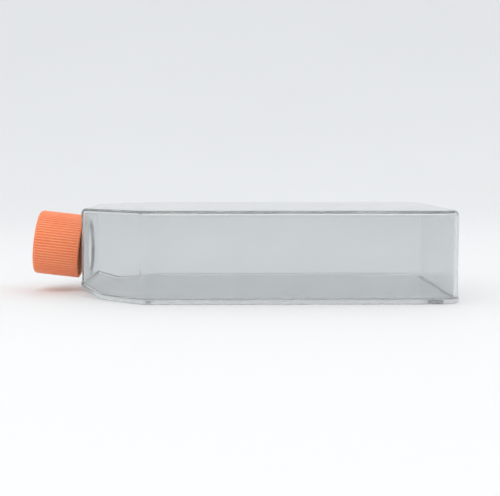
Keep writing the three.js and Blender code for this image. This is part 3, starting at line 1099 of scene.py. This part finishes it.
class FLASK_OT_membrane(FlaskOperator, bpy.types.Operator):
    """Makes the filter membrane behind the vents"""

    bl_idname = "flask.make_membrane"
    bl_label = "Make Membrane"

    def make(self, flask):
        s = cap_sizes(flask.neck, flask.cap)
        film = flask.membrane
        piece = membrane_disc(film, s, s.seal - flask.cap.seal_wall - film.gap)
        piece.data.transform(neck_place())
        finish_piece(piece, "membrane_fibre")
        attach(piece, "cap_lifter")
        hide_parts("vent_membrane")


FLOOR_RINGS = (0.2, 0.6)
FLOOR_STEPS = 96
SWEEP_STEPS = 24
# Light that runs along inside the clear plate is turned back many times before it gets out.
MOST_BOUNCES, MOST_IN_PLASTIC, MOST_UNBENT = 96, 80, 24
ROOM_COLOUR, ROOM_STRENGTH = (0.95, 0.98, 1), 0.86
LIGHTS_AIM = Vector((0, 0, 0.02))
LIGHTS = [
    # name, place, size, power, colour
    ("key_light", (-0.55, -0.8, 1.15), 1.0, 5.2, (1, 0.98, 0.96)),
    ("fill_light", (0.8, -0.35, 1.15), 1.0, 1.5, (0.97, 0.99, 1)),
    ("back_light", (0.2, 0.7, 1.25), 1.0, 1.5, (1, 1, 1)),
]
SENSOR_WIDTH = 36


def turned_to(thing, target):
    """Points a lamp or camera at the target."""
    thing.rotation_euler = (target - thing.location).to_track_quat("-Z", "Y").to_euler()


class FLASK_OT_stage(FlaskOperator, bpy.types.Operator):
    """Makes the floor, the lights and the camera"""

    bl_idname = "flask.make_stage"
    bl_label = "Make Stage"

    def make(self, flask):
        self.make_floor(flask.stage)
        self.make_lights()
        self.make_camera(flask.body, flask.stage)

    def make_floor(self, stage):
        sweep = arc((stage.floor_radius, stage.sweep), stage.sweep, -QUARTER, 0, SWEEP_STEPS)
        profile = [(0, 0)] + [(radius, 0) for radius in FLOOR_RINGS] + sweep
        verts, faces = revolved(profile, FLOOR_STEPS)
        # Turned over, so that they look up.
        floor = mesh_object("floor", verts, [(face[0], *face[:0:-1]) for face in faces])
        paint(floor, floor_paper(stage))
        floor.data.shade_smooth()
        floor.data.transform(Matrix.Translation((0, 0, -HAIR)))

    def make_lights(self):
        scene = bpy.context.scene
        scene.view_settings.view_transform = "Standard"
        scene.cycles.max_bounces = MOST_BOUNCES
        scene.cycles.glossy_bounces = scene.cycles.transmission_bounces = MOST_IN_PLASTIC
        scene.cycles.transparent_max_bounces = MOST_UNBENT
        scene.world = bpy.data.worlds.new("soft_room")
        scene.world.use_nodes = True
        tree = scene.world.node_tree
        for name, value in (("Color", ROOM_COLOUR), ("Strength", ROOM_STRENGTH)):
            feed(tree, tree.nodes["Background"].inputs[name], value)
        for name, place, across, power, tint in LIGHTS:
            lamp = bpy.data.lights.new(name, "AREA")
            lamp.shape, lamp.size = "DISK", across
            lamp.energy, lamp.color = power, tint
            light = linked(bpy.data.objects.new(name, lamp))
            light.location = place
            turned_to(light, LIGHTS_AIM)

    def make_camera(self, body, stage):
        """Level with the flask and a little above it, square to its long side."""
        lens = bpy.data.cameras.new("camera")
        camera = linked(bpy.data.objects.new("camera", lens))
        offset, to_middle = stage.camera_offset, stage.distance + body.width / 2
        camera.location = (offset, -body.width / 2 - stage.distance, stage.camera_height)
        # The cap lies on the middle line and the base end reaches the near side.
        left = (offset - CAD_BOX[0].x) / to_middle
        right = (CAD_BOX[1].x - offset) / stage.distance
        turned_to(camera, Vector((offset + (right - left) / 2 * to_middle, 0, body.height / 2)))
        lens.sensor_width = SENSOR_WIDTH
        lens.lens = SENSOR_WIDTH * stage.fill / (left + right)
        lens.clip_start, lens.clip_end = 0.01, 20
        bpy.context.scene.camera = camera


class FLASK_PT_panel(bpy.types.Panel):
    """Lists the flask's makers and their sizes"""

    bl_idname = "FLASK_PT_panel"
    bl_label = "Culture Flask"
    bl_space_type = "VIEW_3D"
    bl_region_type = "UI"
    bl_category = "Flask"

    def draw(self, context):
        flask = context.scene.flask
        for maker in MAKERS:
            self.layout.operator(maker.bl_idname)
        for name in CultureFlask.__annotations__:
            box = self.layout.box()
            box.label(text=name.capitalize())
            group = getattr(flask, name)
            for key in type(group).__annotations__:
                box.prop(group, key)


class CultureFlask(bpy.types.PropertyGroup):
    """Every size and colour of the flask"""

    body: PointerProperty(type=FlaskBody)
    plate: PointerProperty(type=GrowthPlate)
    neck: PointerProperty(type=FlaskNeck)
    cap: PointerProperty(type=ScrewCap)
    membrane: PointerProperty(type=FilterMembrane)
    finishes: PointerProperty(type=FlaskFinishes)
    stage: PointerProperty(type=FlaskStage)


GROUPS = [FlaskBody, GrowthPlate, FlaskNeck, ScrewCap, FilterMembrane, FlaskFinishes, FlaskStage]
MAKERS = [
    FLASK_OT_body, FLASK_OT_plate, FLASK_OT_weld, FLASK_OT_cap, FLASK_OT_membrane, FLASK_OT_stage
]
CLASSES = GROUPS + [CultureFlask] + MAKERS + [FLASK_PT_panel]


def register():
    for cls in CLASSES:
        bpy.utils.register_class(cls)
    bpy.types.Scene.flask = PointerProperty(type=CultureFlask)


def unregister():
    del bpy.types.Scene.flask
    for cls in reversed(CLASSES):
        bpy.utils.unregister_class(cls)


def main():
    register()
    bpy.ops.flask.make_body()
    bpy.ops.flask.make_plate()
    bpy.ops.flask.make_weld()
    bpy.ops.flask.make_cap()
    bpy.ops.flask.make_membrane()
    bpy.ops.flask.make_stage()


if __name__ == "__main__":
    main()
